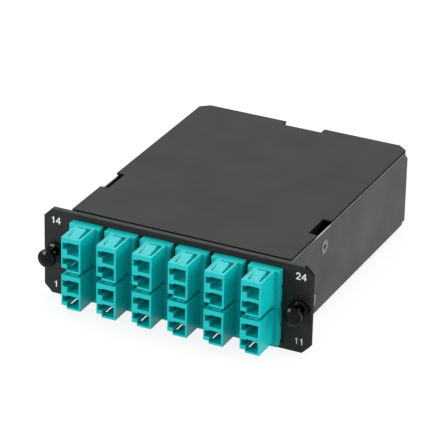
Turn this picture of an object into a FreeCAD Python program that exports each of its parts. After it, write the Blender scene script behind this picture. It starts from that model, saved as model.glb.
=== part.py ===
import FreeCAD, Part
import math
import os
import re

# Fibre cassette: a quarter-width 1U cassette with twelve LC duplex adapters in front,
# two MPO adapters at the back and the fibres between them in a folded sheet tray.
# Axes: X to the right, Y backwards, Z up.  The origin is the middle of the face that
# lands on the patch panel, the back of the two ears of the tray.
# Depths are written as distances behind the front of the faceplate; a minus is in front.

SIZES = [
    # faceplate
    ("plate_width", 109.5, "faceplate side to side, a quarter of the 438 mm between rack ears"),
    ("plate_height", 35.0, "faceplate bottom to top"),
    ("plate_thick", 2.2, "faceplate sheet"),
    ("plate_corner", 3.2, "cut-off corners of the faceplate"),
    ("cutout_play", 0.1, "room round an adapter body in its cut-out, each side"),
    # tray and cover
    ("sheet_thick", 1.0, "sheet of the tray and of the cover"),
    ("bend_inside", 0.4, "inside radius of the bends"),
    ("ear_inset", 0.75, "end of an ear inside the end of the faceplate"),
    ("ear_height", 26.0, "height of an ear"),
    ("tray_width", 89.8, "tray over its side walls"),
    ("tray_rear", 113.2, "depth of the back of the rear wall"),
    ("tray_bottom", 15.8, "middle of the faceplate down to the underside of the tray"),
    ("cover_gap", 0.45, "top of the side walls to the underside of the cover"),
    ("wall_corner_depth", 3.0, "slanted top rear corner of a side wall, along the depth"),
    ("wall_corner_drop", 3.05, "slanted top rear corner of a side wall, down"),
    ("foot_relief", 2.4, "relief at the lower rear corner of a side wall, along the depth"),
    ("foot_relief_height", 0.9, "relief at the lower rear corner, up from the floor's top"),
    ("recess_play", 0.25, "room beside an MPO flange in the recess of the rear wall"),
    ("recess_depth", 3.4, "edge of the cover to the recessed panel"),
    ("recess_middle", 0.55, "middle of the recess, to the right of the middle"),
    ("cover_clear", 1.525, "upper adapter bodies to the underside of the cover"),
    ("cover_inset", 0.15, "side edge of the cover inside the outer face of a wall"),
    ("cover_play", 0.1, "back of the ears to the cover's front edge"),
    ("cover_overhang", 0.8, "cover behind the rear wall"),
    ("cover_corner_across", 3.6, "cut-off rear corners of the cover, across"),
    ("cover_corner_depth", 3.1, "cut-off rear corners of the cover, along the depth"),
    ("notch_lead", 1.1, "front end of a side notch in front of the back of the comb"),
    ("notch_length", 13.4, "length of a side notch"),
    ("notch_inset", 3.4, "how far a side notch goes in"),
    ("tab_width", 11.0, "tab folded down from a side notch"),
    ("tab_bottom", 5.0, "middle of the faceplate up to the tab's lower edge"),
    # adapters
    ("adapter_columns", 6, "adapters in a row"),
    ("column_pitch", 14.6, "adapter to adapter"),
    ("column_shift", 0.88, "middle of the six adapter bodies to the right of the middle"),
    ("row_clear", 0.575, "floor of the tray to the lower adapter bodies"),
    ("row_gap", 1.7, "upper adapter bodies to the lower ones"),
    ("body_width", 7.9, "adapter body across"),
    ("body_height", 13.75, "adapter body bottom to top"),
    ("body_length", 28.0, "adapter body front to back"),
    ("body_front", 14.8, "front of the faceplate to the front of the adapter body"),
    ("flange_thick", 3.4, "flange of an adapter"),
    ("flange_left", 2.75, "flange beyond the body on the left"),
    ("flange_right", 1.75, "flange beyond the body on the right"),
    ("flange_below", 1.45, "flange beyond the body below"),
    ("flange_nick", 0.6, "nicks in the right edge of the flange"),
    ("foot_step", 1.2, "raised lower left corner of the body, height"),
    ("foot_step_width", 2.2, "raised lower left corner of the body, width"),
    ("port_size", 4.9, "clear width and height of an LC port"),
    ("port_pitch", 6.25, "LC duplex pitch"),
    ("port_shift", 0.825, "ports to the right of the middle of the body"),
    ("upper_port", 4.3, "top of the body down to the middle of the upper port"),
    ("keyway_width", 1.85, "slot beside a port for the latch, across"),
    ("keyway_height", 2.6, "slot beside a port for the latch, up and down"),
    ("keyway_lip", 0.35, "lip between the top of a port and its keyway"),
    ("rim_bevel", 0.4, "lead-in bevel round the front of a port"),
    ("web_thick", 7.0, "wall between the front and the rear ports, an alignment sleeve long"),
    ("web_bore", 0.65, "radius of the alignment bore through that wall"),
    ("tongue_width", 3.7, "snap tongue across"),
    ("tongue_left", 2.6, "left side of the body to the tongue"),
    ("tongue_slot", 0.7, "slot on each side of a tongue"),
    ("tongue_root", 1.5, "front of the body to the root of the tongue"),
    ("tongue_length", 6.0, "root of the tongue to its free end"),
    ("tongue_gap", 3.1, "opening beyond the free end of a front tongue"),
    ("tongue_rise", 1.2, "height of the wedge on an upper tongue"),
    ("tongue_rise_under", 0.4, "height of the wedge on a lower tongue"),
    ("tongue_slot_under", 0.9, "slot on each side of a lower tongue"),
    ("tongue_root_under", 3.2, "front of the body to the root of a lower tongue"),
    ("tongue_length_under", 4.3, "lower tongue, root to free end"),
    ("barb_play", 0.15, "back of the faceplate to the catching end of a rear barb"),
    ("barb_length", 4.0, "rear barb, front to back"),
    # plugs and fibres
    ("ferrule_play", 0.03, "room round the ferrule of an LC plug"),
    ("plug_play", 0.4, "port wider than the housing of an LC plug"),
    ("plug_nose_gap", 0.3, "wall between the ports to the nose of a plug"),
    ("plug_outside", 4.0, "plug housing behind the adapter"),
    ("latch_thick", 0.8, "latch lever of a plug"),
    ("latch_height", 2.0, "latch lever of a plug, up and down"),
    ("boot_size", 3.4, "boot across, at the plug"),
    ("boot_tip", 1.8, "boot across, at the fibre"),
    ("boot_length", 3.8, "boot behind the plug housing"),
    ("fibre_radius", 0.45, "buffered fibre"),
    ("fibre_sides", 4, "flats round a buffered fibre"),
    ("fibre_lead", 2.0, "straight fibre behind the comb and in front of a fan-out block"),
    ("fanout_pitch", 1.3, "fibre to fibre in a fan-out block"),
    # comb
    ("comb_clear", 0.2, "ends of the boots to the comb"),
    ("comb_thick", 5.8, "comb front to back"),
    ("comb_top", 13.0, "middle of the faceplate up to the top of the comb"),
    ("comb_slot_play", 0.5, "slot of the comb wider than a fibre"),
    ("comb_rib", 2.7, "rib beside a slot, from the middle of the slot"),
    ("comb_slot_bottom", 12.6, "middle of the faceplate down to the foot of a slot"),
    ("insert_radius", 2.0, "brass insert of the comb"),
    ("insert_length", 5.0, "brass insert of the comb"),
    # MPO end
    ("mpo_upper", 5.0, "height of the upper MPO adapter above the middle"),
    ("mpo_gap", 0.6, "flange of the upper MPO adapter to the lower one"),
    ("mpo_width", 14.0, "MPO adapter body across"),
    ("mpo_height", 10.0, "MPO adapter body bottom to top"),
    ("mpo_length", 24.0, "MPO adapter body front to back"),
    ("mpo_outside", 12.0, "MPO adapter behind the recessed panel"),
    ("mpo_flange_width", 16.0, "MPO flange across"),
    ("mpo_flange_height", 11.6, "MPO flange bottom to top"),
    ("mpo_flange_thick", 1.8, "MPO flange"),
    ("mpo_port_width", 12.4, "opening of an MPO adapter across"),
    ("mpo_port_height", 7.8, "opening of an MPO adapter, up and down"),
    ("mpo_web", 2.0, "wall in the middle of an MPO adapter"),
    ("mt_width", 6.4, "MT ferrule across"),
    ("mt_height", 2.5, "MT ferrule, up and down"),
    ("mt_play", 0.1, "room round the MT ferrule in the wall"),
    ("mpo_plug_play", 0.3, "opening wider than the MPO plug housing"),
    ("mpo_plug_outside", 6.6, "MPO plug in front of its adapter"),
    ("mpo_boot_radius", 2.9, "boot of the MPO plug"),
    ("fanout_length", 6.0, "fan-out block"),
    ("fanout_bridge", 4.0, "fan-out block to the MPO plug"),
    ("fanout_width", 9.0, "fan-out block across"),
    ("fanout_height", 4.4, "fan-out block, up and down"),
    # screws
    ("screw_radius", 1.45, "thread of the M3 screws"),
    ("cone_small", 1.8, "small end of the cone of a head"),
    ("head_radius", 2.8, "countersunk head"),
    ("head_proud", 0.15, "rim of the head outside the wall"),
    ("head_play", 0.03, "room round the cone of a head"),
    ("recess_cross", 2.7, "cross recess tip to tip"),
    ("recess_bar", 0.7, "cross recess, width of a bar"),
    ("cross_depth", 0.9, "cross recess depth"),
    ("cover_screw_shift", 0.7, "cover screws behind the middle of the side notches"),
    ("cover_screw_height", 9.5, "height of the cover screws"),
    ("cover_screw_length", 5.5, "cover screw, end to the outside of the wall"),
    ("comb_screw_back", 2.8, "comb screws behind the front of the comb"),
    ("comb_screw_height", 9.0, "comb screws below the middle"),
    ("comb_screw_length", 5.0, "comb screw, end to the outside of the wall"),
    ("clinch_radius", 2.75, "spacer nut between tab and wall"),
    ("clinch_shank", 2.1, "shank of the spacer nut in the tab"),
    ("thread_play", 0.03, "room round a thread"),
    # push rivets
    ("rivet_spacing", 100.0, "push rivet to push rivet"),
    ("collar_radius", 4.0, "collar of a grommet"),
    ("collar_thick", 1.4, "collar of a grommet"),
    ("collar_bevel", 0.5, "bevel round the front of the collar"),
    ("neck_relief", 0.25, "neck of a grommet thinner than its barrel, inside the plate and the ear"),
    ("barrel_play", 0.06, "holes in the plate and in the ear round the barrel that is pushed through"),
    ("barrel_radius", 2.3, "barrel of a grommet, inside the panel"),
    ("barrel_land", 3.4, "straight part of the barrel behind the ear"),
    ("barrel_nose", 2.4, "tapered end of the barrel"),
    ("barrel_tip", 1.8, "radius of the barrel at its tip"),
    ("barrel_split", 0.7, "split in the barrel"),
    ("split_start", 2.2, "back of the ear to the start of the splits"),
    ("pin_radius", 1.25, "pin of a plunger"),
    ("pin_play", 0.08, "room round the pin"),
    ("pin_reach", 6.0, "pin behind the front of the faceplate, pulled out"),
    ("knob_radius", 3.7, "knob of a plunger"),
    ("knob_thick", 2.4, "knob of a plunger at its middle"),
    ("knob_dome", 1.0, "rise of the domed front of the knob"),
    ("pulled_left", 4.6, "left knob to its collar, the stroke"),
    ("pulled_right", 3.8, "right knob to its collar, the stroke"),
]

# Sizes that follow from the ones above, each as a sum of (factor, size).
TIES = {
    "ear_reach": [(0.5, "plate_width"), (-1, "ear_inset")],
    "row_pitch": [(1, "body_height"), (1, "row_gap")],
    "upper_row": [(-1, "tray_bottom"), (1, "sheet_thick"), (1, "row_clear"), (0.5, "body_height"),
                  (1, "row_pitch")],
    "cover_top": [(1, "upper_row"), (0.5, "body_height"), (1, "cover_clear"), (1, "sheet_thick")],
    "mpo_pitch": [(1, "mpo_flange_height"), (1, "mpo_gap")],
    "wall_top": [(1, "cover_top"), (-1, "sheet_thick"), (-1, "cover_gap")],
    "cover_width": [(1, "tray_width"), (-2, "cover_inset")],
    "cover_front": [(1, "plate_thick"), (1, "sheet_thick"), (1, "cover_play")],
    "cover_rear": [(1, "tray_rear"), (1, "cover_overhang")],
    "recess_width": [(1, "mpo_flange_width"), (2, "recess_play")],
    "first_column": [(2.5, "column_pitch"), (-1, "column_shift")],
    "plug_size": [(1, "port_size"), (-1, "plug_play")],
    "ferrule_radius": [(1, "web_bore"), (-1, "ferrule_play")],
    "plug_rear": [(1, "body_length"), (-1, "body_front"), (1, "plug_outside")],
    "boot_rear": [(1, "plug_rear"), (1, "boot_length")],
    "comb_front": [(1, "boot_rear"), (1, "comb_clear")],
    "comb_rear": [(1, "comb_front"), (1, "comb_thick")],
    "comb_slot": [(2, "fibre_radius"), (1, "comb_slot_play")],
    "comb_screw_depth": [(1, "comb_front"), (1, "comb_screw_back")],
    "notch_front": [(1, "comb_rear"), (-1, "notch_lead")],
    "cover_screw_depth": [(1, "notch_front"), (0.5, "notch_length"), (1, "cover_screw_shift")],
    "mpo_plug_width": [(1, "mpo_port_width"), (-1, "mpo_plug_play")],
    "mpo_plug_height": [(1, "mpo_port_height"), (-1, "mpo_plug_play")],
    "mpo_plug_front": [(1, "cover_rear"), (-1, "recess_depth"), (1, "mpo_outside"), (-1, "mpo_length"),
                       (-1, "mpo_plug_outside")],
    "fanout_front": [(1, "mpo_plug_front"), (-1, "fanout_bridge"), (-1, "fanout_length")],
    "bend_start": [(1, "comb_rear"), (1, "fibre_lead")],
    "bend_end": [(1, "fanout_front"), (-1, "fibre_lead")],
    "neck_radius": [(1, "barrel_radius"), (-1, "neck_relief")],
    "neck_hole": [(1, "barrel_radius"), (1, "barrel_play")],
}

doc = FreeCAD.newDocument("FibreCassette")
sheet = doc.addObject("Spreadsheet::Sheet", "Sizes")
KNOWN = set()
for number, (alias, value, note) in enumerate(SIZES, start=1):
    sheet.set("A%d" % number, alias)
    sheet.set("B%d" % number, str(value))
    sheet.setAlias("B%d" % number, alias)
    sheet.set("C%d" % number, note)
    KNOWN.add(alias)
doc.recompute()


def size(alias):
    if alias in TIES:
        return sum(factor * size(other) for factor, other in TIES[alias])
    return float(sheet.get(alias))


def bind(text):
    def named(match):
        word = match.group()
        if word in TIES:
            return bind("(" + " + ".join("%s * %s" % term for term in TIES[word]) + ")")
        return "Sizes." + word if word in KNOWN else word
    return re.sub(r"[a-z_]+", named, str(text))


def place(solid, x, y, z):
    solid.setExpression("Placement.Base.x", bind(x))
    solid.setExpression("Placement.Base.y", bind(y))
    solid.setExpression("Placement.Base.z", bind(z))
    return solid


def box(name, x, y, z):
    solid = doc.addObject("Part::Box", name)
    solid.setExpression("Length", bind("(%s) - (%s)" % (x[1], x[0])))
    solid.setExpression("Width", bind("(%s) - (%s)" % (y[1], y[0])))
    solid.setExpression("Height", bind("(%s) - (%s)" % (z[1], z[0])))
    return place(solid, x[0], y[0], z[0])


TURNS = {
    "X": FreeCAD.Rotation(FreeCAD.Vector(0, 1, 0), 90),
    "Y": FreeCAD.Rotation(FreeCAD.Vector(1, 0, 0), -90),
    "Z": FreeCAD.Rotation(),
}


def rod(name, radius, length, x, y, z, axis="Y"):
    solid = doc.addObject("Part::Cylinder", name)
    solid.setExpression("Radius", bind(radius))
    solid.setExpression("Height", bind(length))
    solid.Placement = FreeCAD.Placement(FreeCAD.Vector(), TURNS[axis])
    return place(solid, x, y, z)


def taper(name, radius_one, radius_two, length, x, y, z, axis="Y"):
    solid = doc.addObject("Part::Cone", name)
    solid.setExpression("Radius1", bind(radius_one))
    solid.setExpression("Radius2", bind(radius_two))
    solid.setExpression("Height", bind(length))
    solid.Placement = FreeCAD.Placement(FreeCAD.Vector(), TURNS[axis])
    return place(solid, x, y, z)


def eight_sided(name, radius, length, x, y, z, axis="Y"):
    # An eight-sided rod, for small round forms that are repeated many times or are hidden.
    solid = doc.addObject("Part::Prism", name)
    solid.Polygon = 8
    solid.setExpression("Circumradius", bind(radius))
    solid.setExpression("Height", bind(length))
    solid.Placement = FreeCAD.Placement(FreeCAD.Vector(), TURNS[axis])
    return place(solid, x, y, z)


def wedge(name, x, y, z_near, z_far):
    # A block whose low and high faces run from z_near at y[0] to z_far at y[1].
    solid = doc.addObject("Part::Wedge", name)
    solid.setExpression("Xmin", bind(x[0]))
    solid.setExpression("Xmax", bind(x[1]))
    solid.setExpression("X2min", bind(x[0]))
    solid.setExpression("X2max", bind(x[1]))
    solid.setExpression("Ymin", bind(y[0]))
    solid.setExpression("Ymax", bind(y[1]))
    solid.setExpression("Zmin", bind(z_near[0]))
    solid.setExpression("Zmax", bind(z_near[1]))
    solid.setExpression("Z2min", bind(z_far[0]))
    solid.setExpression("Z2max", bind(z_far[1]))
    return solid


def fuse(name, shapes):
    solid = doc.addObject("Part::MultiFuse", name)
    solid.Shapes = shapes
    solid.Refine = True
    return solid


def group(name, shapes):
    solid = doc.addObject("Part::Compound", name)
    solid.Links = shapes
    return solid


def cut(name, base, tools):
    solid = doc.addObject("Part::Cut", name)
    solid.Base = base
    solid.Tool = tools[0] if len(tools) == 1 else fuse(name + "_tools", tools)
    solid.Refine = True
    return solid


def edges_at(shape, wanted):
    # Numbers of the straight edges whose middle point answers to wanted(point, direction).
    found = []
    for number, edge in enumerate(shape.Edges, start=1):
        if len(edge.Vertexes) != 2:
            continue
        one = edge.Vertexes[0].Point
        two = edge.Vertexes[1].Point
        if wanted((one + two) * 0.5, (two - one).normalize()):
            found.append(number)
    return found


def rounded(name, base, wanted, radius):
    doc.recompute()
    solid = doc.addObject("Part::Fillet", name)
    solid.Base = base
    solid.Edges = [(number, radius, radius) for number in edges_at(base.Shape, wanted)]
    return solid


def bevelled(name, base, wanted, reach):
    doc.recompute()
    solid = doc.addObject("Part::Chamfer", name)
    solid.Base = base
    solid.Edges = [(number, reach, reach) for number in edges_at(base.Shape, wanted)]
    return solid


NODES = []


def node(label, solid):
    solid.Label = label
    NODES.append(solid)
    return solid


def copy_of(label, master, x, y, z):
    return place(group(label, [master]), x, y, z)


FRONT = "(-(plate_thick + sheet_thick))"
LEFT = "(-tray_width / 2)"
RIGHT = "(tray_width / 2)"
FLOOR = "(sheet_thick - tray_bottom)"


def behind(depth):
    return "(%s + %s)" % (FRONT, depth)


COLUMNS = ["(-first_column + %d * column_pitch)" % number for number in range(6)]
ROWS = {"top": "upper_row", "bottom": "(upper_row - row_pitch)"}
PORTS = ["(body_height / 2 - upper_port)", "(body_height / 2 - upper_port - port_pitch)"]
MPO_ROWS = {"upper": "mpo_upper", "lower": "(mpo_upper - mpo_pitch)"}
HANDS = {"left": "-1", "right": "1"}

# ---------------------------------------------------------------- tray
# Floor, side walls, recessed rear wall and two outward ears, folded from one sheet.
ground = FRONT + " + plate_thick"
shell = box("tray_block", (LEFT, RIGHT), (ground, behind("tray_rear")), ("-tray_bottom", "wall_top"))
bend_outside = size("bend_inside") + size("sheet_thick")
low = -size("tray_bottom")
shell = rounded("tray_bent", shell, lambda point, way: abs(way.y) > 0.9 and point.z < low + 0.1, bend_outside)
room = box("tray_room", (LEFT + " + sheet_thick", RIGHT + " - sheet_thick"),
           (ground + " - 5", behind("tray_rear + 5")), (FLOOR, "wall_top + 5"))
shallow = size("sheet_thick") - size("tray_bottom")
room = rounded("tray_room_bent", room, lambda point, way: abs(way.y) > 0.9 and point.z < shallow + 0.1,
               size("bend_inside"))
shell = cut("tray_folded", shell, [room])

inner_left = LEFT + " + sheet_thick"
inner_right = RIGHT + " - sheet_thick"
rear_wall = (behind("tray_rear - sheet_thick"), behind("tray_rear"))
panel_back = behind("cover_rear - recess_depth")
panel_front = panel_back + " - sheet_thick"
recess_left = "(recess_middle - recess_width / 2)"
recess_right = "(recess_middle + recess_width / 2)"
rear_heights = (FLOOR + " - sheet_thick / 2", "cover_top - sheet_thick")
rear_parts = [
    box("rear_left", (inner_left, recess_left), rear_wall, rear_heights),
    box("rear_right", (recess_right, inner_right), rear_wall, rear_heights),
    box("jamb_left", (recess_left + " - sheet_thick", recess_left), (panel_front, behind("tray_rear")),
        rear_heights),
    box("jamb_right", (recess_right, recess_right + " + sheet_thick"), (panel_front, behind("tray_rear")),
        rear_heights),
    box("recess_panel", (recess_left + " - sheet_thick", recess_right + " + sheet_thick"),
        (panel_front, panel_back), rear_heights),
]
ears = []
for hand, sign in HANDS.items():
    low_x = "ear_reach * %s" % sign if hand == "left" else RIGHT + " - sheet_thick"
    high_x = LEFT + " + sheet_thick" if hand == "left" else "ear_reach * %s" % sign
    ears.append(box("ear_" + hand, (low_x, high_x), (ground, ground + " + sheet_thick"),
                    ("-ear_height / 2", "ear_height / 2")))
shell = fuse("tray_joined", [shell] + rear_parts + ears)

tray_cuts = []
for hand, sign in HANDS.items():
    middle = "rivet_spacing / 2 * %s" % sign
    tray_cuts.append(rod("ear_hole_" + hand, "neck_hole", "10", middle, "-5", "0"))
    wall_x = LEFT if hand == "left" else inner_right
    radii = ["head_radius + head_play", "cone_small + head_play"]
    if hand == "right":
        radii.reverse()
    tray_cuts.append(taper("cover_screw_hole_" + hand, radii[0], radii[1], "sheet_thick", wall_x,
                           behind("cover_screw_depth"), "cover_screw_height", "X"))
    tray_cuts.append(taper("comb_screw_hole_" + hand, radii[0], radii[1], "sheet_thick", wall_x,
                           behind("comb_screw_depth"), "-comb_screw_height", "X"))
    outer = (LEFT + " - 1", inner_left + " + 0.001")
    if hand == "right":
        outer = (inner_right + " - 0.001", RIGHT + " + 1")
    tray_cuts.append(box("foot_relief_" + hand, outer,
                         (behind("tray_rear - foot_relief"), behind("tray_rear + 1")),
                         ("-tray_bottom - 1", FLOOR + " + foot_relief_height")))
    slant = wedge("wall_slant_" + hand, outer, (behind("tray_rear - wall_corner_depth"), behind("tray_rear")),
                  ("wall_top", "wall_top + 1"), ("wall_top - wall_corner_drop", "wall_top + 1"))
    tray_cuts.append(slant)
for row, height in MPO_ROWS.items():
    tray_cuts.append(box("mpo_cutout_" + row,
                         ("recess_middle - mpo_width / 2 - cutout_play",
                          "recess_middle + mpo_width / 2 + cutout_play"),
                         (panel_front + " - 1", panel_back + " + 1"),
                         (height + " - mpo_height / 2 - cutout_play",
                          height + " + mpo_height / 2 + cutout_play")))
node("base_tray", cut("base_tray", shell, tray_cuts))

# ---------------------------------------------------------------- faceplate
plate = box("plate_blank", ("-plate_width / 2", "plate_width / 2"), (FRONT, FRONT + " + plate_thick"),
            ("-plate_height / 2", "plate_height / 2"))
plate = bevelled("plate_corners", plate, lambda point, way: abs(way.y) > 0.9, size("plate_corner"))
plate_cuts = []
for row, height in ROWS.items():
    for number, middle in enumerate(COLUMNS, start=1):
        plate_cuts.append(box("cutout_%s_%d" % (row, number),
                              (middle + " - body_width / 2 - cutout_play",
                               middle + " + body_width / 2 + cutout_play"),
                              (FRONT + " - 1", FRONT + " + plate_thick + 1"),
                              (height + " - body_height / 2 - cutout_play",
                               height + " + body_height / 2 + cutout_play")))
for hand, sign in HANDS.items():
    plate_cuts.append(rod("plate_hole_" + hand, "neck_hole", "10",
                          "rivet_spacing / 2 * %s" % sign, FRONT + " - 3", "0"))
node("faceplate", cut("faceplate", plate, plate_cuts))

# ---------------------------------------------------------------- cover
# Flat sheet with two side notches, a rear notch and a tab folded down inside each side notch.
cover_heights = ("cover_top - sheet_thick", "cover_top")
cover = box("cover_blank", ("-cover_width / 2", "cover_width / 2"),
            (behind("cover_front"), behind("cover_rear")), cover_heights)
cover_cuts = [box("cover_recess", (recess_left, recess_right), (panel_back, behind("cover_rear + 1")),
                  ("cover_top - 3", "cover_top + 1"))]
notch = (behind("notch_front"), behind("notch_front + notch_length"))
tab = (behind("notch_front + (notch_length - tab_width) / 2"),
       behind("notch_front + (notch_length + tab_width) / 2"))
tab_outer = "(cover_width / 2 - notch_inset)"
cover_adds = []
for hand, sign in HANDS.items():
    if hand == "left":
        outside = ("-cover_width / 2 - 1", "-" + tab_outer)
        fold = ("-" + tab_outer, "-" + tab_outer + " + sheet_thick")
        hole_x = "-" + tab_outer + " - 1"
    else:
        outside = (tab_outer, "cover_width / 2 + 1")
        fold = (tab_outer + " - sheet_thick", tab_outer)
        hole_x = tab_outer + " - sheet_thick - 1"
    cover_cuts.append(box("notch_" + hand, outside, notch, ("cover_top - 3", "cover_top + 1")))
    flap = box("tab_blank_" + hand, fold, tab, ("tab_bottom", "cover_top - sheet_thick / 2"))
    hole = eight_sided("tab_hole_" + hand, "clinch_shank", "3", hole_x, behind("cover_screw_depth"),
                       "cover_screw_height", "X")
    cover_adds.append(cut("tab_" + hand, flap, [hole]))
cover = cut("cover_notched", cover, cover_cuts)
doc.recompute()
across = size("cover_corner_across")
along = size("cover_corner_depth")
rear_edge = size("cover_rear") - size("plate_thick") - size("sheet_thick")
corner_cuts = []
for hand, sign in HANDS.items():
    edge = size("cover_width") / 2 * float(sign)
    corner = [FreeCAD.Vector(edge - across * float(sign), rear_edge, 0),
              FreeCAD.Vector(edge, rear_edge - along, 0),
              FreeCAD.Vector(edge + 2 * float(sign), rear_edge - along, 0),
              FreeCAD.Vector(edge + 2 * float(sign), rear_edge + 2, 0),
              FreeCAD.Vector(edge - across * float(sign), rear_edge + 2, 0)]
    prism = doc.addObject("Part::Feature", "cover_corner_" + hand)
    prism.Shape = Part.Face(Part.makePolygon(corner + corner[:1])).extrude(FreeCAD.Vector(0, 0, 6))
    prism.Placement = FreeCAD.Placement(FreeCAD.Vector(0, 0, size("cover_top") - 4), FreeCAD.Rotation())
    corner_cuts.append(prism)
cover = cut("cover_flat", cover, corner_cuts)
node("top_cover", fuse("top_cover", [cover] + cover_adds))

# ---------------------------------------------------------------- LC duplex adapter
# Made once about the middle of its body, with its depth counted from the faceplate's front,
# and placed twelve times.
half_wide = "body_width / 2"
half_high = "body_height / 2"
body_back = "(body_length - body_front)"
core = "(body_length / 2 - body_front)"
body = box("adapter_body", ("-" + half_wide, half_wide), ("-body_front", body_back),
           ("-" + half_high, half_high))
flange = box("adapter_flange", ("-%s - flange_left" % half_wide, half_wide + " + flange_right"),
             ("-flange_thick", "0"), ("-%s - flange_below" % half_high, half_high))
adapter = fuse("adapter_outside", [body, flange])

adapter_cuts = [
    box("foot_step_front", ("-%s - 1" % half_wide, "-%s + foot_step_width" % half_wide),
        ("-body_front - 1", "-flange_thick"), ("-%s - 1" % half_high, "-%s + foot_step" % half_high)),
]
for number, height in enumerate((half_high + " + 0.8", "body_height * 0 - flange_below / 2 + 0.2",
                                 "-%s - 0.6" % half_high), start=1):
    adapter_cuts.append(box("flange_nick_%d" % number,
                            (half_wide + " + flange_right - flange_nick", half_wide + " + flange_right + 1"),
                            ("-flange_nick", "1"), (height + " - 0.7", height + " + 0.7")))
port_x = ("port_shift - port_size / 2", "port_shift + port_size / 2")
for number, height in enumerate(PORTS, start=1):
    port_z = (height + " - port_size / 2", height + " + port_size / 2")
    key_x = ("port_shift - port_size / 2 - keyway_width", "port_shift")
    key_z = (height + " + port_size / 2 - keyway_lip - keyway_height",
             height + " + port_size / 2 - keyway_lip")
    ends = {"front": ("-body_front - 1", core + " - web_thick / 2"),
            "rear": (core + " + web_thick / 2", body_back + " + 1")}
    for end, reach in ends.items():
        adapter_cuts.append(box("port_%s_%d" % (end, number), port_x, reach, port_z))
        adapter_cuts.append(box("keyway_%s_%d" % (end, number), key_x, reach, key_z))
tongue_x = ("-%s + tongue_left" % half_wide, "-%s + tongue_left + tongue_width" % half_wide)
barb = ("plate_thick + barb_play", "plate_thick + barb_play + barb_length")
wedges = []
for face, sign, extra in (("over", 1, ""), ("under", -1, "_under")):
    rise = "tongue_rise" + extra
    slot_x = (tongue_x[0] + " - tongue_slot" + extra, tongue_x[1] + " + tongue_slot" + extra)
    front_root = "(-body_front + tongue_root%s)" % extra
    front_end = "(%s + tongue_length%s)" % (front_root, extra)
    if sign > 0:
        skin = (PORTS[0] + " + port_size / 2 - 0.2", half_high + " + 1")
    else:
        skin = ("-%s - 1" % half_high, PORTS[1] + " - port_size / 2 + 0.2")
    window = box("window_" + face, slot_x, (front_root, front_end + " + tongue_gap"), skin)
    keep = box("keep_" + face, tongue_x, (front_root, front_end), skin)
    adapter_cuts.append(cut("slot_" + face, window, [keep]))
    flat = "%s * %d" % (half_high, sign)
    inside = flat + " - 0.3 * %d" % sign
    slim = flat + " + 0.12 * %d" % sign
    tall = flat + " + %s * %d" % (rise, sign)
    low_end = (inside, slim) if sign > 0 else (slim, inside)
    high_end = (inside, tall) if sign > 0 else (tall, inside)
    wedges.append(wedge("tongue_wedge_" + face, tongue_x, (front_root, front_end), low_end, high_end))
    wedges.append(wedge("barb_" + face, tongue_x, barb, high_end, low_end))
for number, height in enumerate(PORTS, start=1):
    adapter_cuts.append(eight_sided("web_bore_%d" % number, "web_bore", "web_thick + 2", "port_shift",
                                    core + " - web_thick / 2 - 1", height))
adapter = cut("adapter_hollow", adapter, adapter_cuts)
adapter = fuse("adapter_master", [adapter] + wedges)
for row, height in ROWS.items():
    for number, middle in enumerate(COLUMNS, start=1):
        label = "lc_adapter_%s_%d" % (row, number)
        node(label, copy_of(label, adapter, middle, FRONT, height))

# ---------------------------------------------------------------- LC plugs on the inner side
# One-piece plugs: ferrule, housing, latch lever and tapered boot.
nose = core + " + web_thick / 2 + plug_nose_gap"
lever_middle = "(port_size / 2 - keyway_lip - keyway_height / 2)"
plug_form = fuse("plug_form", [
    box("plug_housing", ("-plug_size / 2", "plug_size / 2"), (nose, "plug_rear"),
        ("-plug_size / 2", "plug_size / 2")),
    box("plug_lever", ("-plug_size / 2 - latch_thick - 0.3", "-plug_size / 2 + 0.3"),
        (body_back + " - 6", "plug_rear - 0.6"),
        (lever_middle + " - latch_height / 2", lever_middle + " + latch_height / 2")),
])
lever_gap = box("plug_lever_gap", ("-plug_size / 2 - 0.3", "-plug_size / 2"),
                (body_back + " - 7", "plug_rear - 2.4"), ("-plug_size", "plug_size"))
boot = wedge("plug_boot", ("-boot_size / 2", "boot_size / 2"), ("plug_rear - 0.2", "boot_rear"),
             ("-boot_size / 2", "boot_size / 2"), ("-boot_tip / 2", "boot_tip / 2"))
boot.setExpression("X2min", bind("-boot_tip / 2"))
boot.setExpression("X2max", bind("boot_tip / 2"))
plug = fuse("plug_master", [
    cut("plug_slotted", plug_form, [lever_gap]),
    eight_sided("plug_ferrule", "ferrule_radius", nose + " + 0.2 - %s - 0.02" % core,
                "0", core + " + 0.02", "0"),
    boot,
])
for row, row_height in ROWS.items():
    for number, middle in enumerate(COLUMNS, start=1):
        label = "lc_plugs_%s_%d" % (row, number)
        pair = [copy_of("%s_port_%d" % (label, port), plug, middle + " + port_shift", FRONT,
                        row_height + " + " + port_height) for port, port_height in enumerate(PORTS, start=1)]
        node(label, group(label, pair))

# ---------------------------------------------------------------- comb
# A moulded bar from wall to wall; the fibres of one column lie in one slot.
comb = box("comb_bar", (inner_left, inner_right), (behind("comb_front"), behind("comb_rear")),
           (FLOOR, "comb_top"))
comb = bevelled("comb_bevelled", comb, lambda point, way: abs(way.y) > 0.9 and point.z < 0,
                size("bend_inside"))
comb_cuts = []
for number, middle in enumerate(COLUMNS, start=1):
    comb_cuts.append(box("comb_slot_%d" % number,
                         (middle + " + port_shift - comb_slot / 2", middle + " + port_shift + comb_slot / 2"),
                         (behind("comb_front - 1"), behind("comb_rear + 1")),
                         ("-comb_slot_bottom", "comb_top + 1")))
for number in range(7):
    middle = "(-first_column + %d * column_pitch - column_pitch / 2 + port_shift)" % number
    comb_cuts.append(box("comb_relief_%d" % number,
                         (middle + " - column_pitch / 2 + comb_rib",
                          middle + " + column_pitch / 2 - comb_rib"),
                         (behind("comb_front + 1.2"), behind("comb_rear - 1.2")),
                         ("-2", "comb_top + 1")))
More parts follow.
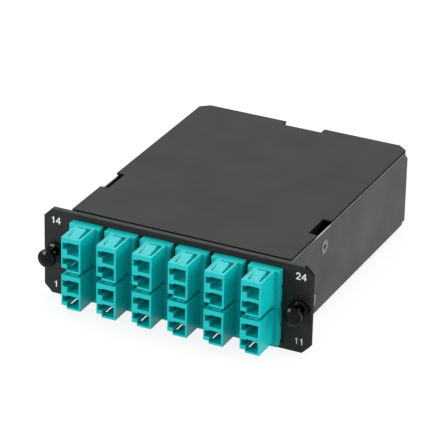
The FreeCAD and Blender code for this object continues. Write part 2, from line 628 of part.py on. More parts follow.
for hand, sign in HANDS.items():
    start = inner_left + " - 1" if hand == "left" else inner_right + " - insert_length"
    comb_cuts.append(eight_sided("comb_insert_hole_" + hand, "insert_radius + thread_play",
                                 "insert_length + 1",
                                 start, behind("comb_screw_depth"), "-comb_screw_height", "X"))
node("fibre_comb", cut("fibre_comb", comb, comb_cuts))

inserts = []
for hand, sign in HANDS.items():
    start = inner_left if hand == "left" else inner_right + " - insert_length"
    block = eight_sided("insert_block_" + hand, "insert_radius", "insert_length", start,
                        behind("comb_screw_depth"), "-comb_screw_height", "X")
    bore = eight_sided("insert_bore_" + hand, "screw_radius + thread_play", "insert_length + 2",
                       start + " - 1",
                       behind("comb_screw_depth"), "-comb_screw_height", "X")
    inserts.append(cut("insert_" + hand, block, [bore]))
node("comb_inserts", group("comb_inserts", inserts))

# ---------------------------------------------------------------- spacer nuts between cover tabs and walls
nuts = []
for hand, sign in HANDS.items():
    reach = "(%s - sheet_thick - %s)" % (RIGHT, tab_outer)
    start = inner_left if hand == "left" else tab_outer
    shank = "-" + tab_outer if hand == "left" else tab_outer + " - sheet_thick"
    block = eight_sided("nut_block_" + hand, "clinch_radius", reach, start, behind("cover_screw_depth"),
                        "cover_screw_height", "X")
    foot = eight_sided("nut_foot_" + hand, "clinch_shank", "sheet_thick", shank, behind("cover_screw_depth"),
                       "cover_screw_height", "X")
    bore = eight_sided("nut_bore_" + hand, "screw_radius + thread_play", "12",
                       ("-%s - 8" % tab_outer) if hand == "left" else (tab_outer + " - 4"),
                       behind("cover_screw_depth"), "cover_screw_height", "X")
    nuts.append(cut("nut_" + hand, fuse("nut_joined_" + hand, [block, foot]), [bore]))
node("spacer_nuts", group("spacer_nuts", nuts))


# ---------------------------------------------------------------- countersunk screws
def flush_screw(name, length):
    # Rim of the head at the origin and towards +X, cone and thread towards -X.
    thread = eight_sided(name + "_thread", "screw_radius", length, "-" + length, "0", "0", "X")
    cone = taper(name + "_cone", "cone_small", "head_radius", "sheet_thick", "-sheet_thick", "0", "0", "X")
    rim = rod(name + "_rim", "head_radius", "head_proud", "0", "0", "0", "X")
    across = box(name + "_bar_one", ("head_proud - cross_depth", "head_proud + 1"),
                 ("-recess_cross / 2", "recess_cross / 2"), ("-recess_bar / 2", "recess_bar / 2"))
    upright = box(name + "_bar_two", ("head_proud - cross_depth", "head_proud + 1"),
                  ("-recess_bar / 2", "recess_bar / 2"), ("-recess_cross / 2", "recess_cross / 2"))
    return cut(name, fuse(name + "_solid", [thread, cone, rim]), [across, upright])


for label, length, depth, height in (
        ("cover_screws", "cover_screw_length", "cover_screw_depth", "cover_screw_height"),
        ("comb_screws", "comb_screw_length", "comb_screw_depth", "-comb_screw_height")):
    master = flush_screw(label + "_master", length)
    right = copy_of(label + "_right", master, RIGHT, behind(depth), height)
    left = group(label + "_left", [master])
    left.Placement = FreeCAD.Placement(FreeCAD.Vector(), FreeCAD.Rotation(FreeCAD.Vector(0, 0, 1), 180))
    place(left, LEFT, behind(depth), height)
    node(label, group(label, [right, left]))

# ---------------------------------------------------------------- push rivets
# A split grommet clipped through the faceplate and the ear, and a plunger that slides in it.
through = "(plate_thick + sheet_thick)"
grommet = fuse("grommet_solid", [
    taper("grommet_lip", "collar_radius - collar_bevel", "collar_radius", "collar_bevel", "0",
          "-collar_thick", "0"),
    rod("grommet_collar", "collar_radius", "collar_thick - collar_bevel",
        "0", "-collar_thick + collar_bevel", "0"),
    rod("grommet_neck", "neck_radius", through, "0", "0", "0"),
    rod("grommet_barrel", "barrel_radius", "barrel_land", "0", through, "0"),
    taper("grommet_nose", "barrel_radius", "barrel_tip", "barrel_nose", "0", through + " + barrel_land", "0"),
])
split_from = through + " + split_start"
grommet = cut("grommet_master", grommet, [
    rod("grommet_bore", "pin_radius + pin_play", "30", "0", "-10", "0"),
    box("grommet_split_one", ("-barrel_split / 2", "barrel_split / 2"), (split_from, "30"), ("-10", "10")),
    box("grommet_split_two", ("-10", "10"), (split_from, "30"), ("-barrel_split / 2", "barrel_split / 2")),
])
for hand, sign in HANDS.items():
    middle = "rivet_spacing / 2 * %s" % sign
    node("grommet_" + hand, copy_of("grommet_" + hand, grommet, middle, FRONT, "0"))
    knob_back = "(-collar_thick - pulled_%s)" % hand
    knob_front = "(%s - knob_thick)" % knob_back
    blank = rod("knob_blank_" + hand, "knob_radius", "knob_thick", "0", knob_front, "0")
    ball = doc.addObject("Part::Sphere", "knob_ball_" + hand)
    ball_radius = "((knob_radius * knob_radius + knob_dome * knob_dome) / (2 * knob_dome))"
    ball.setExpression("Radius", bind(ball_radius))
    ball.Placement = FreeCAD.Placement(FreeCAD.Vector(), TURNS["Y"])
    place(ball, "0", knob_front + " + " + ball_radius, "0")
    knob = doc.addObject("Part::Common", "knob_" + hand)
    knob.Base = blank
    knob.Tool = ball
    pin = rod("pin_" + hand, "pin_radius", "pin_reach - %s + 0.2" % knob_back, "0", knob_back + " - 0.2", "0")
    plunger = fuse("plunger_solid_" + hand, [knob, pin])
    node("plunger_" + hand, copy_of("plunger_" + hand, plunger, middle, FRONT, "0"))

# ---------------------------------------------------------------- MPO adapters, plugs and fan-outs
# Made once about the adapter's middle line, depth counted from the faceplate's front.
panel_depth = "(cover_rear - recess_depth)"
mpo_back = "(%s + mpo_outside)" % panel_depth
mpo_front = "(%s - mpo_length)" % mpo_back
mpo_core = "(%s + mpo_length / 2)" % mpo_front
mpo = fuse("mpo_outside_form", [
    box("mpo_body", ("-mpo_width / 2", "mpo_width / 2"), (mpo_front, mpo_back),
        ("-mpo_height / 2", "mpo_height / 2")),
    box("mpo_flange", ("-mpo_flange_width / 2", "mpo_flange_width / 2"),
        (panel_depth, panel_depth + " + mpo_flange_thick"),
        ("-mpo_flange_height / 2", "mpo_flange_height / 2")),
])
mpo = cut("mpo_master", mpo, [
    box("mpo_port_rear", ("-mpo_port_width / 2", "mpo_port_width / 2"),
        (mpo_core + " + mpo_web / 2", mpo_back + " + 1"), ("-mpo_port_height / 2", "mpo_port_height / 2")),
    box("mpo_port_front", ("-mpo_port_width / 2", "mpo_port_width / 2"),
        (mpo_front + " - 1", mpo_core + " - mpo_web / 2"), ("-mpo_port_height / 2", "mpo_port_height / 2")),
    box("mpo_window", ("-mt_width / 2 - mt_play", "mt_width / 2 + mt_play"),
        (mpo_core + " - 5", mpo_core + " + 5"), ("-mt_height / 2 - mt_play", "mt_height / 2 + mt_play")),
    box("mpo_key", ("-1.3", "1.3"), (mpo_core + " + mpo_web / 2", mpo_back + " + 1"),
        ("0", "mpo_port_height / 2 + 0.6")),
])
mpo_plug = box("mpo_plug_block", ("-mpo_plug_width / 2", "mpo_plug_width / 2"),
               ("mpo_plug_front", mpo_core + " - mpo_web / 2 - 0.2"),
               ("-mpo_plug_height / 2", "mpo_plug_height / 2"))
mpo_plug = cut("mpo_plug_master", mpo_plug, [
    box("mpo_plug_ferrule_hole", ("-mt_width / 2", "mt_width / 2"),
        (mpo_core + " - mpo_web / 2 - 7", mpo_core + " + 5"), ("-mt_height / 2", "mt_height / 2")),
    rod("mpo_plug_boot_hole", "mpo_boot_radius + thread_play", "3", "0", "mpo_plug_front - 0.5", "0"),
])
mt = box("mt_master", ("-mt_width / 2", "mt_width / 2"), (mpo_core + " - mpo_web / 2 - 7", mpo_core),
         ("-mt_height / 2", "mt_height / 2"))
fanout_back = "(fanout_front + fanout_length)"
fanout = fuse("fanout_master", [
    box("fanout_block", ("-fanout_width / 2", "fanout_width / 2"), ("fanout_front", fanout_back),
        ("-fanout_height / 2", "fanout_height / 2")),
    rod("fanout_boot", "mpo_boot_radius", "mpo_plug_front + 2.5 - %s + 0.5" % fanout_back, "0",
        fanout_back + " - 0.5", "0"),
])
ferrules = []
for row, height in MPO_ROWS.items():
    for label, master in (("mpo_adapter_", mpo), ("mpo_plug_", mpo_plug), ("fanout_", fanout)):
        node(label + row, copy_of(label + row, master, "recess_middle", FRONT, height))
    ferrules.append(copy_of("mt_ferrule_" + row, mt, "recess_middle", FRONT, height))
node("mt_ferrules", group("mt_ferrules", ferrules))

# ---------------------------------------------------------------- fibres
# Each fibre leaves its boot straight, swings to the fan-out block in two equal arcs that
# touch, and ends at the block.  A sweep along such a line is made from the sheet's sizes.
front_y = -(size("plate_thick") + size("sheet_thick"))


def fibre(start, end):
    bend_one = front_y + size("bend_start")
    bend_two = front_y + size("bend_end")
    side = FreeCAD.Vector(end.x - start.x, 0, end.z - start.z)
    offset = side.Length
    length = bend_two - bend_one
    one = FreeCAD.Vector(start.x, bend_one, start.z)
    two = FreeCAD.Vector(end.x, bend_two, end.z)
    path = [Part.makeLine(start, one)]
    middle = (one + two) * 0.5
    radius = (length * length + offset * offset) / (4 * offset)
    toward = side * (1 / offset)
    half_turn = 0.5 * math.asin(length / 2 / radius)
    along = FreeCAD.Vector(0, 1, 0)
    forward = along * (radius * math.sin(half_turn))
    sideways = toward * (radius * (1 - math.cos(half_turn)))
    knee_one = one + forward + sideways
    knee_two = two - forward - sideways
    path.append(Part.Arc(one, knee_one, middle).toShape())
    path.append(Part.Arc(middle, knee_two, two).toShape())
    path.append(Part.makeLine(two, end))
    wire = Part.Wire(path)
    sides = int(size("fibre_sides"))
    turns = [2 * math.pi * (number + 0.5) / sides for number in range(sides)]
    across = toward * (size("fibre_radius") / math.cos(math.pi / sides))
    upright = across.cross(along)
    corners = [start + across * math.cos(turn) + upright * math.sin(turn) for turn in turns]
    ring = Part.makePolygon(corners + corners[:1])
    return wire.makePipeShell([ring], True, False)


for row, mpo_row, centre in (("top", "upper", size("mpo_upper")),
                             ("bottom", "lower", size("mpo_upper") - size("mpo_pitch"))):
    strands = []
    row_z = size("upper_row") - (0 if row == "top" else size("row_pitch"))
    for column in range(6):
        for port in range(2):
            x = -size("first_column") + column * size("column_pitch") + size("port_shift")
            z = row_z + size("body_height") / 2 - size("upper_port") - port * size("port_pitch")
            start = FreeCAD.Vector(x, front_y + size("boot_rear"), z)
            end = FreeCAD.Vector(size("recess_middle") + (column - 2.5) * size("fanout_pitch"),
                                 front_y + size("fanout_front"),
                                 centre + (0.5 - port) * size("fanout_pitch"))
            strands.append(fibre(start, end))
    harness = doc.addObject("Part::Feature", "fibre_harness_" + row)
    harness.Shape = Part.makeCompound(strands)
    harness.Placement = FreeCAD.Placement()
    node("fibre_harness_" + row, harness)

# ---------------------------------------------------------------- check and write
doc.recompute()
for item in doc.Objects:
    if "Invalid" in item.State or "Error" in item.State:
        raise RuntimeError("not built: " + item.Name)
    if hasattr(item, "Shape") and item.Shape.isNull():
        raise RuntimeError("empty: " + item.Name)
os.makedirs("parts", exist_ok=True)
for item in NODES:
    if not item.Shape.isValid():
        raise RuntimeError("not sound: " + item.Label)
    item.Shape.exportStep("parts/%s.step" % item.Label)
    print(item.Label, len(item.Shape.Solids), "solids, volume %.1f mm3" % item.Shape.Volume)
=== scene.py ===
import math
import bmesh
import bpy
from mathutils import Matrix, Vector


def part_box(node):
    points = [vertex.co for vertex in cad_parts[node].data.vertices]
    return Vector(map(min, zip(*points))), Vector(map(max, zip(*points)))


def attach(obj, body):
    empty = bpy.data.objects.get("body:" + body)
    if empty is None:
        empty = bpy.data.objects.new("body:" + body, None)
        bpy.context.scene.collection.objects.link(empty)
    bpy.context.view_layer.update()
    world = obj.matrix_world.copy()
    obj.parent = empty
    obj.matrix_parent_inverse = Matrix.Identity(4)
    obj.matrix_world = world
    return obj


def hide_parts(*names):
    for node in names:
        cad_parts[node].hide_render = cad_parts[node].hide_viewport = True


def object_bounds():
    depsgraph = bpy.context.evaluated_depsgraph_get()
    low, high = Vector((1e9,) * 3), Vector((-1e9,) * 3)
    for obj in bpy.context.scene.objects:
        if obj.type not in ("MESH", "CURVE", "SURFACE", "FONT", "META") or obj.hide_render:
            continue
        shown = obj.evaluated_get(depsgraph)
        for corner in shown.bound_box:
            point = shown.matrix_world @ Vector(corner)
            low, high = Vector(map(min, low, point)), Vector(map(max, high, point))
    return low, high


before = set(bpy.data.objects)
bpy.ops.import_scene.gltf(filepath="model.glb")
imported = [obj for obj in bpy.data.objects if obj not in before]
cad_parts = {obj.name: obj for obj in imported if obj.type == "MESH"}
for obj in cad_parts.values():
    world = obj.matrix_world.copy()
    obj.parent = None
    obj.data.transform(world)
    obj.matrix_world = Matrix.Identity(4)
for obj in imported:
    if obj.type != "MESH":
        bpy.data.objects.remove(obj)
cad_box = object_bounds()

# View. A long lens to the front right of the cassette and above it, turned a little about its own
# line of sight. Lengths are metres: X to the right, Y back into the rack, Z up.
azimuth, elevation, roll = math.radians(25.15), math.radians(25.94), math.radians(1.28)
aim = Vector((0, 0.0418, 0))
stand_off, shift_left, shift_up = 1.12325, 0.00252, 0.00411
back = Vector((math.sin(azimuth) * math.cos(elevation), -math.cos(azimuth) * math.cos(elevation),
               math.sin(elevation)))
level = Vector((math.cos(azimuth), math.sin(azimuth), 0))
rise = back.cross(level)
right = level * math.cos(roll) + rise * math.sin(roll)
up = rise * math.cos(roll) - level * math.sin(roll)
lens = bpy.data.cameras.new("long_lens")
lens.sensor_width = 36
lens.lens = 240.2
lens.clip_end = 20
camera = bpy.data.objects.new("camera", lens)
stand = aim + back * stand_off - right * shift_left + up * shift_up
camera.matrix_world = Matrix.Translation(stand) @ Matrix((right, up, back)).transposed().to_4x4()
bpy.context.scene.collection.objects.link(camera)
bpy.context.scene.camera = camera
bpy.context.scene.view_settings.view_transform = "Standard"

# Stage. A sheet of white paper just below the part, which keeps its shadow. The camera, and glass
# or metal that mirrors the paper, see it white; the part itself gets plain grey light from it.
floor_gap = 0.0002
floor_half = 4


def seen_or_mirrored(nodes, links):
    path = nodes.new("ShaderNodeLightPath")
    seen = path.outputs["Is Camera Ray"]
    for ray in ("Is Transmission Ray", "Is Glossy Ray"):
        either = nodes.new("ShaderNodeMath")
        either.operation = "MAXIMUM"
        links.new(seen, either.inputs[0])
        links.new(path.outputs[ray], either.inputs[1])
        seen = either.outputs[0]
    return seen


paper_shape = bmesh.new()
bmesh.ops.create_grid(paper_shape, x_segments=1, y_segments=1, size=floor_half,
                      matrix=Matrix.Translation((0, 0, cad_box[0].z - floor_gap)))
floor_mesh = bpy.data.meshes.new("floor")
paper_shape.to_mesh(floor_mesh)
paper_shape.free()
floor = bpy.data.objects.new("floor", floor_mesh)
bpy.context.scene.collection.objects.link(floor)
paper = bpy.data.materials.new("white_paper")
paper.use_nodes = True
nodes, links = paper.node_tree.nodes, paper.node_tree.links
nodes.clear()
lit_paper = nodes.new("ShaderNodeBsdfDiffuse")
lit_paper.inputs["Color"].default_value = (0.20, 0.20, 0.20, 1)
glow = nodes.new("ShaderNodeEmission")
glow.inputs["Color"].default_value = (1, 1, 1, 1)
glow.inputs["Strength"].default_value = 0.84
white_paper = nodes.new("ShaderNodeAddShader")
links.new(lit_paper.outputs[0], white_paper.inputs[0])
links.new(glow.outputs[0], white_paper.inputs[1])
grey_paper = nodes.new("ShaderNodeBsdfDiffuse")
grey_paper.inputs["Color"].default_value = (0.55, 0.55, 0.55, 1)
choice = nodes.new("ShaderNodeMixShader")
links.new(seen_or_mirrored(nodes, links), choice.inputs[0])
links.new(grey_paper.outputs[0], choice.inputs[1])
links.new(white_paper.outputs[0], choice.inputs[2])
surface = nodes.new("ShaderNodeOutputMaterial")
links.new(choice.outputs[0], surface.inputs["Surface"])
floor.data.materials.append(paper)

# Studio. White walls all round, which light the part at a little over half strength, and three
# large soft lamps: overhead and behind, from the right, and low from the front left.
walls = bpy.data.worlds.new("studio")
bpy.context.scene.world = walls
walls.use_nodes = True
nodes, links = walls.node_tree.nodes, walls.node_tree.links
nodes.clear()
strength = nodes.new("ShaderNodeMapRange")
strength.inputs["To Min"].default_value = 0.55
strength.inputs["To Max"].default_value = 1.0
links.new(seen_or_mirrored(nodes, links), strength.inputs["Value"])
white_wall = nodes.new("ShaderNodeBackground")
white_wall.inputs["Color"].default_value = (1, 1, 1, 1)
links.new(strength.outputs[0], white_wall.inputs["Strength"])
surface = nodes.new("ShaderNodeOutputWorld")
links.new(white_wall.outputs[0], surface.inputs["Surface"])
lit_spot = Vector((0, 0.04, 0))
for name, place, width, watts in (
        ("overhead", Vector((-0.25, 0.75, 1.15)), 1.3, 10.8),
        ("right_side", Vector((1.25, 0.15, 0.45)), 0.9, 11.6),
        ("front_left", Vector((-0.75, -0.95, 0.30)), 0.5, 11.5)):
    soft_box = bpy.data.lights.new(name, "AREA")
    soft_box.size = width
    soft_box.energy = watts
    lamp = bpy.data.objects.new(name, soft_box)
    lamp.location = place
    lamp.rotation_euler = (lit_spot - place).to_track_quat("-Z", "Y").to_euler()
    bpy.context.scene.collection.objects.link(lamp)


# Tray. One folded steel sheet, powder coated dark grey with a fine, slightly uneven satin grain.
# The outer half of the top edge of each side wall is painted bright, a painted highlight. The
# rest of that top edge, a thin strip of the wall just below it and the rear-facing ends of the walls
# are painted near-black, painted shade.
def finish(name, colour, roughness, gloss=0.5, mottle=0.06, roughness_range=0.06, grain=0.2, metallic=0.0):
    cloud_size, grain_size, grain_depth = 0.02, 0.0006, 0.00002
    material = bpy.data.materials.new(name)
    material.use_nodes = True
    nodes, links = material.node_tree.nodes, material.node_tree.links
    shader = nodes["Principled BSDF"]
    shader.inputs["Specular IOR Level"].default_value = gloss
    shader.inputs["Metallic"].default_value = metallic
    place = nodes.new("ShaderNodeTexCoord")
    cloud = nodes.new("ShaderNodeTexNoise")
    cloud.inputs["Scale"].default_value = 1 / cloud_size
    cloud.inputs["Detail"].default_value = 6
    links.new(place.outputs["Object"], cloud.inputs["Vector"])
    shade = nodes.new("ShaderNodeValToRGB")
    for stop, where, factor in ((0, 0.3, 1 - mottle), (1, 0.7, 1 + mottle)):
        shade.color_ramp.elements[stop].position = where
        shade.color_ramp.elements[stop].color = [channel * factor for channel in colour] + [1]
    links.new(cloud.outputs["Fac"], shade.inputs["Fac"])
    links.new(shade.outputs["Color"], shader.inputs["Base Color"])
    shine = nodes.new("ShaderNodeMapRange")
    shine.inputs["From Min"].default_value = 0.3
    shine.inputs["From Max"].default_value = 0.7
    shine.inputs["To Min"].default_value = roughness - roughness_range
    shine.inputs["To Max"].default_value = roughness + roughness_range
    links.new(cloud.outputs["Fac"], shine.inputs["Value"])
    links.new(shine.outputs[0], shader.inputs["Roughness"])
    speck = nodes.new("ShaderNodeTexNoise")
    speck.inputs["Scale"].default_value = 1 / grain_size
    speck.inputs["Detail"].default_value = 2
    links.new(place.outputs["Object"], speck.inputs["Vector"])
    bump = nodes.new("ShaderNodeBump")
    bump.inputs["Strength"].default_value = grain
    bump.inputs["Distance"].default_value = grain_depth
    links.new(speck.outputs["Fac"], bump.inputs["Height"])
    links.new(bump.outputs["Normal"], shader.inputs["Normal"])
    return material


def with_broken_edges(node, coat, edge_width):
    shape = bmesh.new()
    shape.from_mesh(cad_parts[node].data)
    bmesh.ops.remove_doubles(shape, verts=shape.verts, dist=0.000001)
    bmesh.ops.dissolve_limit(shape, angle_limit=math.radians(0.5), verts=shape.verts, edges=shape.edges,
                             use_dissolve_boundaries=False)
    if edge_width:
        corners = [edge for edge in shape.edges
                   if edge.is_manifold and edge.calc_face_angle() > math.radians(30)]
        bmesh.ops.bevel(shape, geom=corners, offset=edge_width, offset_type="OFFSET", affect="EDGES",
                        segments=2, profile=0.5, material=-1, clamp_overlap=True)
    mesh = bpy.data.meshes.new(node + "_eased")
    shape.to_mesh(mesh)
    shape.free()
    mesh.materials.append(coat)
    piece = bpy.data.objects.new(node + "_eased", mesh)
    bpy.context.scene.collection.objects.link(piece)
    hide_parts(node)
    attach(piece, "cassette")
    return piece


tray_coat = finish("tray_powder_coat", (0.0150, 0.0185, 0.0190), roughness=0.42, gloss=0.25)
# Painted highlight for the outer half of each side wall's top edge.
painted_highlight_edge = finish("painted_highlight_sheet_edge", (0.42, 0.42, 0.41), roughness=0.5)
# Near-black painted shade for cut edges and the gaps beside them, on tray, faceplate and cover.
painted_shade_edge = finish("painted_shade_sheet_edge", (0.0015, 0.0015, 0.0015), roughness=0.6, gloss=0.08)
sheet_thick = 0.0010
sheet_edge = 0.00008
wall_outside_cover = 0.00015
wall_below_cover = 0.00045
highlight_strip_width = 0.0005
shade_strip_depth = 0.00025
near = 0.0001
tray = with_broken_edges("base_tray", tray_coat, sheet_edge)
tray.data.materials.append(painted_highlight_edge)
tray.data.materials.append(painted_shade_edge)
tray_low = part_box("base_tray")[0]
cover_low, cover_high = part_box("top_cover")
wall_face = cover_high.x + wall_outside_cover
wall_top = cover_high.z - sheet_thick - wall_below_cover
shape = bmesh.new()
shape.from_mesh(tray.data)
for cut, way in (((0, 0, wall_top - shade_strip_depth), (0, 0, 1)),
                 ((wall_face - highlight_strip_width, 0, 0), (1, 0, 0)),
                 ((highlight_strip_width - wall_face, 0, 0), (1, 0, 0))):
    bmesh.ops.bisect_plane(shape, geom=shape.verts[:] + shape.edges[:] + shape.faces[:], dist=0.000001,
                           plane_co=cut, plane_no=way)
shape.to_mesh(tray.data)
shape.free()
for face in tray.data.polygons:
    across, along, height = abs(face.center.x), face.center.y, face.center.z
    if along < cover_low.y or across > wall_face + near or across < wall_face - sheet_thick - 2 * near:
        continue
    # Outer half of the wall top: painted highlight. Other faces along the top edge and the rear-facing wall
    # ends: painted shade.
    if face.normal.z > 0.9 and abs(height - wall_top) < near and across > wall_face - highlight_strip_width:
        face.material_index = 1
    elif height > wall_top - shade_strip_depth:
        face.material_index = 2
    elif face.normal.y > 0.3 and height > tray_low.z + 2 * sheet_thick:
        face.material_index = 2

# Faceplate. Flat steel sheet, cut by laser and coated almost black, welded to the tray's ears.
# Its cut ends are painted near-black, darker than its face, as painted shade.
plate_coat = finish("faceplate_coat", (0.011, 0.0125, 0.011), roughness=0.5, gloss=0.20)
plate_edge = 0.00012
plate = with_broken_edges("faceplate", plate_coat, plate_edge)
plate.data.materials.append(painted_shade_edge)
# Side faces take the near-black painted shade.
for face in plate.data.polygons:
    if abs(face.normal.y) < 0.3 and abs(face.normal.x) > 0.3:
        face.material_index = 1

# Port numbers. Plain numerals screen printed in white on the faceplate, one at each end of each
# row. A digit is drawn one unit tall, from straight strokes and, in a 2, a round bowl.
ink = finish("white_ink", (0.80, 0.80, 0.78), roughness=0.6, mottle=0.03)
ink_height = 0.00003
ink_line = 0.155
digit_step = {"1": 0.775, "2": 0.80, "4": 0.775}


def printed_stroke(shape, across, height, width, tall, lean=0, layer=0):
    laid = Matrix.Translation((across, height, layer)) @ Matrix.Rotation(math.radians(lean), 4, "Z")
    bmesh.ops.create_grid(shape, x_segments=1, y_segments=1, size=0.5,
                          matrix=laid @ Matrix.Diagonal((width, tall, 1, 1)))


def printed_digit(digit):
    shape = bmesh.new()
    if digit == "1":
        printed_stroke(shape, 0.42, 0.50, ink_line, 1)
        printed_stroke(shape, 0.29, 0.80, 0.28, ink_line * 0.8, lean=28, layer=0.001)
    if digit == "4":
        printed_stroke(shape, 0.53, 0.50, ink_line, 1)
        printed_stroke(shape, 0.385, 0.29, 0.70, ink_line * 0.85, layer=0.001)
        printed_stroke(shape, 0.29, 0.63, 0.82, ink_line * 0.8, lean=53, layer=0.002)
    if digit == "2":
        bowl, heart = 0.24, Vector((0.37, 0.69, 0))
        start = [shape.verts.new(heart + Vector((-bowl - side * ink_line / 2, 0, 0))) for side in (-1, 1)]
        edge = shape.edges.new(start)
        turn = bmesh.ops.spin(shape, geom=start + [edge], cent=heart, axis=(0, 0, -1), dvec=(0, 0, 0),
                              angle=math.radians(215), steps=14, use_merge=False)
        last = [part for part in turn["geom_last"] if isinstance(part, bmesh.types.BMEdge)]
        slope = bmesh.ops.extrude_edge_only(shape, edges=last)
        foot = [part for part in slope["geom"] if isinstance(part, bmesh.types.BMVert)]
        centre = sum((vert.co for vert in foot), Vector()) / 2
        bmesh.ops.translate(shape, verts=foot, vec=Vector((0.15, ink_line * 0.6, 0)) - centre)
        printed_stroke(shape, 0.385, ink_line / 2, 0.64, ink_line, layer=0.001)
    return shape


plate_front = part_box("faceplate")[0].y
onto_plate = Matrix.Translation((0, plate_front - ink_height, 0)) @ Matrix.Rotation(math.radians(90), 4, "X")
for number, left, foot, tall in (
        ("14", -0.0519, 0.0117, 0.0027),
        ("1", -0.0508, -0.0148, 0.0026),
        ("24", 0.0482, 0.0120, 0.0028),
        ("11", 0.04835, -0.01425, 0.0026)):
    whole = bmesh.new()
    for digit in number:
        shape = printed_digit(digit)
        spot = onto_plate @ Matrix.Translation((left, foot, 0)) @ Matrix.Scale(tall, 4)
        bmesh.ops.transform(shape, matrix=spot, verts=shape.verts)
        one_digit = bpy.data.meshes.new("digit")
        shape.to_mesh(one_digit)
        shape.free()
        whole.from_mesh(one_digit)
        bpy.data.meshes.remove(one_digit)
        left += tall * digit_step[digit]
    bmesh.ops.recalc_face_normals(whole, faces=whole.faces)
    for face in whole.faces:
        if face.normal.y > 0:
            face.normal_flip()
    print_mesh = bpy.data.meshes.new("port_number_" + number)
    whole.to_mesh(print_mesh)
    whole.free()
    print_mesh.materials.append(ink)
    printed = bpy.data.objects.new("port_number_" + number, print_mesh)
    bpy.context.scene.collection.objects.link(printed)
    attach(printed, "cassette")

# LC duplex adapters. Twelve injection mouldings in satin aqua plastic, pushed into the faceplate
# from the front and held by their barbs. Their small slanted and bevelled faces are a little
# glossier, and a lighter aqua is painted on them as a painted highlight.
aqua = finish("aqua_plastic", (0.0, 0.465, 0.47), roughness=0.38, gloss=0.3, mottle=0.03, grain=0.1)
# Lighter aqua for the small slanted and bevelled faces: a painted highlight.
aqua_painted_highlight = finish("aqua_slant_painted_highlight", (0.12, 0.66, 0.65), roughness=0.25, mottle=0.05, grain=0.05)
moulded_edge = 0.00015
slant_area = 0.0000015


def moulded_adapter(node):
    moulding = with_broken_edges(node, aqua, moulded_edge)
    moulding.data.materials.append(aqua_painted_highlight)
    for face in moulding.data.polygons:
        # Small slanted and bevelled faces get the painted highlight.
        if max(abs(way) for way in face.normal) < 0.985 and face.area < slant_area:
            face.material_index = 1


for row in ("top", "bottom"):
    for column in range(1, 7):
        moulded_adapter("lc_adapter_%s_%d" % (row, column))

# MPO adapters. Two mouldings in the same aqua plastic, one above the other in the recess of the
# tray's rear wall.
for row in ("upper", "lower"):
    moulded_adapter("mpo_adapter_" + row)

# Collars of the push rivets. Black nylon, moulded glossy, with a split barrel that is clipped
# through the faceplate and the ear.
nylon = finish("black_nylon", (0.001, 0.001, 0.001), roughness=0.08, gloss=0.13, roughness_range=0.02,
               grain=0.05)
for hand in ("left", "right"):
    collar = with_broken_edges("grommet_" + hand, nylon, 0)
    collar.data.shade_smooth()
    collar.data.set_sharp_from_angle(angle=math.radians(35))

# Plungers of the push rivets. A round knob with a domed face on a pin, moulded in one in the same
# black nylon. The pin slides in the collar and spreads the barrel when the knob is pushed in.
knob_dome, knob_thick, knob_rounding, pin_radius = 0.0010, 0.00237, 0.0003, 0.00125
for hand in ("left", "right"):
    low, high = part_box("plunger_" + hand)
    knob_radius = (high.x - low.x) / 2
    pin_end = high.y - low.y
    dome_radius = (knob_radius * knob_radius + knob_dome * knob_dome) / (2 * knob_dome)
    lathe = bmesh.new()
    nose = lathe.verts.new((0, 0, 0))
    bmesh.ops.spin(lathe, geom=[nose], cent=(0, dome_radius, 0), axis=(0, 0, 1), dvec=(0, 0, 0),
                   angle=math.asin(knob_radius / dome_radius), steps=10, use_merge=False)
    outline = [max(lathe.verts, key=lambda vert: vert.co.x)]
    for x, y in ((knob_radius, knob_thick), (pin_radius, knob_thick), (pin_radius, pin_end), (0, pin_end)):
        outline.append(lathe.verts.new((x, y, 0)))
        lathe.edges.new(outline[-2:])
    bmesh.ops.spin(lathe, geom=lathe.verts[:] + lathe.edges[:], cent=(0, 0, 0), axis=(0, 1, 0),
                   dvec=(0, 0, 0), angle=math.radians(360), steps=64, use_merge=True)
    bmesh.ops.remove_doubles(lathe, verts=lathe.verts, dist=0.000002)
    bmesh.ops.recalc_face_normals(lathe, faces=lathe.faces)
    rims = [edge for edge in lathe.edges
            if edge.is_manifold and edge.calc_face_angle_signed() > math.radians(40)]
    bmesh.ops.bevel(lathe, geom=rims, offset=knob_rounding, offset_type="OFFSET", affect="EDGES", segments=4,
                    profile=0.5, material=-1, clamp_overlap=True)
    bmesh.ops.translate(lathe, verts=lathe.verts, vec=((high.x + low.x) / 2, low.y, 0))
    for face in lathe.faces:
        face.smooth = True
    knob_mesh = bpy.data.meshes.new("knob_" + hand)
    lathe.to_mesh(knob_mesh)
    lathe.free()
    knob_mesh.materials.append(nylon)
    knob = bpy.data.objects.new("knob_" + hand, knob_mesh)
    bpy.context.scene.collection.objects.link(knob)
    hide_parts("plunger_" + hand)
    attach(knob, "plunger_" + hand)


# LC plugs. Twenty-four plugs on the inner side of the adapters, in cream plastic, with a latch
# lever at the side and a short boot where the fibre leaves.
def dress(node, material):
    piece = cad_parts[node]
    piece.data.materials.clear()
    piece.data.materials.append(material)


cream_plastic = finish("cream_plastic", (0.48, 0.45, 0.36), roughness=0.4)
for row in ("top", "bottom"):
    for column in range(1, 7):
        dress("lc_plugs_%s_%d" % (row, column), cream_plastic)

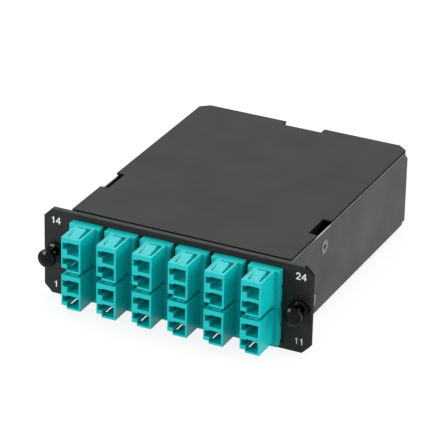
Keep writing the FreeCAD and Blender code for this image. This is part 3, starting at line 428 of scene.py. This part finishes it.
# Buffered fibres. Twelve to each row, in an aqua jacket 0.9 mm thick, from the plugs through the
# comb to the fan-out blocks.
fibre_buffer = finish("fibre_buffer", (0.03, 0.42, 0.46), roughness=0.5)
for row in ("top", "bottom"):
    dress("fibre_harness_" + row, fibre_buffer)

# Fibre comb. A black moulded bar across the tray that keeps the fibres apart, screwed to the side
# walls by a brass insert pressed in each end.
black_plastic = finish("black_plastic", (0.008, 0.008, 0.008), roughness=0.45)
brass = finish("brass", (0.55, 0.38, 0.13), roughness=0.35, metallic=1)
dress("fibre_comb", black_plastic)
dress("comb_inserts", brass)

# MPO plugs. A black housing with its ferrule in the inner side of each MPO adapter, and the
# fan-out block and boot that gather twelve fibres in front of it.
for row in ("upper", "lower"):
    dress("mpo_plug_" + row, black_plastic)
    dress("fanout_" + row, black_plastic)
dress("mt_ferrules", black_plastic)

# Cover. One flat steel sheet in the same powder coat as the tray, with a tab folded down in a notch
# at each side. Its coat is set a little darker and greyer than the tray's, painted shade on its
# top face. All its faces that do not face up or down, the cut edges and the tabs, are painted
# near-black, painted shade.
# A darker, greyer copy of the tray's coat: painted shade.
shaded_cover_coat = finish("cover_powder_coat_painted_shade", (0.0155, 0.0165, 0.0168), roughness=0.42, gloss=0.10)
cover = with_broken_edges("top_cover", shaded_cover_coat, sheet_edge)
cover.data.materials.append(painted_shade_edge)
for face in cover.data.polygons:
    # Cut edges and tabs: near-black painted shade.
    if abs(face.normal.z) < 0.5:
        face.material_index = 1

# Spacer nuts. Zinc-plated steel, pressed in the cover's tabs, which take the cover screws.
# They stay as cut, since they lie inside the walls.
zinc_steel = finish("zinc_steel", (0.45, 0.45, 0.45), roughness=0.35, metallic=1)
dress("spacer_nuts", zinc_steel)

# Screws. Bright zinc-plated steel, countersunk in the side walls, two for the cover and two for
# the comb. The faces sunk below the head, the cross recess and the countersink cone, are painted
# near-black as the shade in the recess and in the gap round the head.
bright_zinc = finish("bright_zinc", (0.15, 0.155, 0.15), roughness=0.32, metallic=1)
# Near-black for the recess and the countersink cone: painted shade.
recess_painted_shade = finish("screw_recess_painted_shade", (0.01, 0.01, 0.01), roughness=0.5)
screw_edge = 0.00006
head_skin = 0.00009
for node in ("cover_screws", "comb_screws"):
    screws = with_broken_edges(node, bright_zinc, screw_edge)
    screws.data.materials.append(recess_painted_shade)
    head_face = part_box(node)[1].x
    for face in screws.data.polygons:
        # Faces sunk below the head face: painted shade.
        if abs(face.center.x) < head_face - head_skin:
            face.material_index = 1
